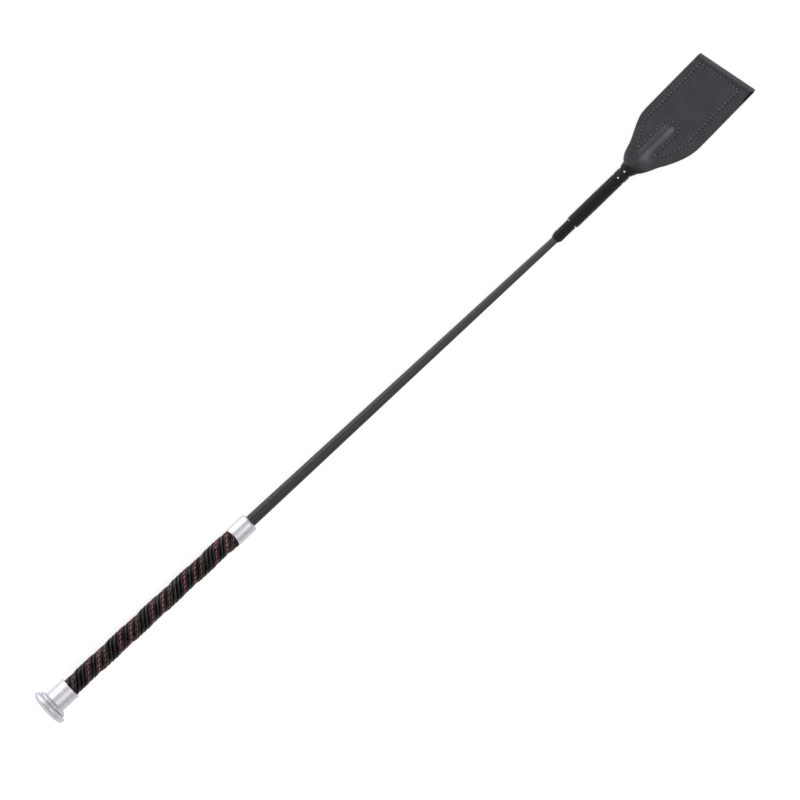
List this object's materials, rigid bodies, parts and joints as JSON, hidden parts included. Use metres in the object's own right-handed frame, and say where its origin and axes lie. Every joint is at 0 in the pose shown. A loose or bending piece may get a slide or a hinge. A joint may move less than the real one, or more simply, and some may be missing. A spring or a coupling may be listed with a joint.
{
  "type": "riding crop",
  "caption": "Short riding crop: tapered rod with a corded grip, mushroom pommel, ferrule, thread whipping and a folded, stitched leather flap that bends.",
  "frame": {"origin": "centre of the pommel's flat end face", "axes": "+X along the straight rod from the pommel to the flap, +Z square to the flap's broad front face, +Y across the flap"},
  "size_m": [0.65, 0.048, 0.0274],
  "materials": {
    "aluminium": "satin turned",
    "fibreglass": "pultruded rod, hidden",
    "handle_plastic": "extruded tube, hidden",
    "cover": "smooth, low sheen",
    "grip_cord": "glossy round cord",
    "grip_thread": "twisted thread, red with black",
    "whipping_thread": "waxed thread",
    "lacquer": "hard clear bead",
    "flap_leather": "fine grain, semi-matte",
    "seam_thread": "waxed sewing thread"
  },
  "bodies": {
    "stick": {"pommel_cap": "aluminium", "core_rod": "fibreglass", "handle_tube": "handle_plastic", "shaft_cover": "cover", "ferrule": "aluminium", "grip_cord_1": "grip_cord", "grip_cord_2": "grip_cord", "grip_cord_3": "grip_cord", "grip_cord_4": "grip_cord", "grip_cord_5": "grip_cord", "grip_cord_6": "grip_cord", "grip_cord_7": "grip_cord", "grip_cord_8": "grip_cord", "grip_cord_9": "grip_cord", "grip_thread_1": "grip_thread", "grip_thread_2": "grip_thread", "grip_thread_3": "grip_thread", "whipping_base": "whipping_thread", "whipping_main": "whipping_thread", "whipping_ring": "whipping_thread", "whipping_throat": "whipping_thread", "whipping_seals": "lacquer", "flap_root_front": "flap_leather", "flap_root_back": "flap_leather", "seam_front_root": "seam_thread", "seam_back_root": "seam_thread"},
    "blade": {"flap_blade": "flap_leather", "seam_front_blade": "seam_thread", "seam_back_blade": "seam_thread"}
  },
  "joints": [
    {"name": "flap_bend", "type": "hinge", "parent": "stick", "child": "blade", "pos_m": [0.59882, 0.00379, 0], "axis": [-0.0471, 0.9989, 0], "range_deg": [-60, 60], "stiffness_Nm_per_rad": 0.15}
  ]
}
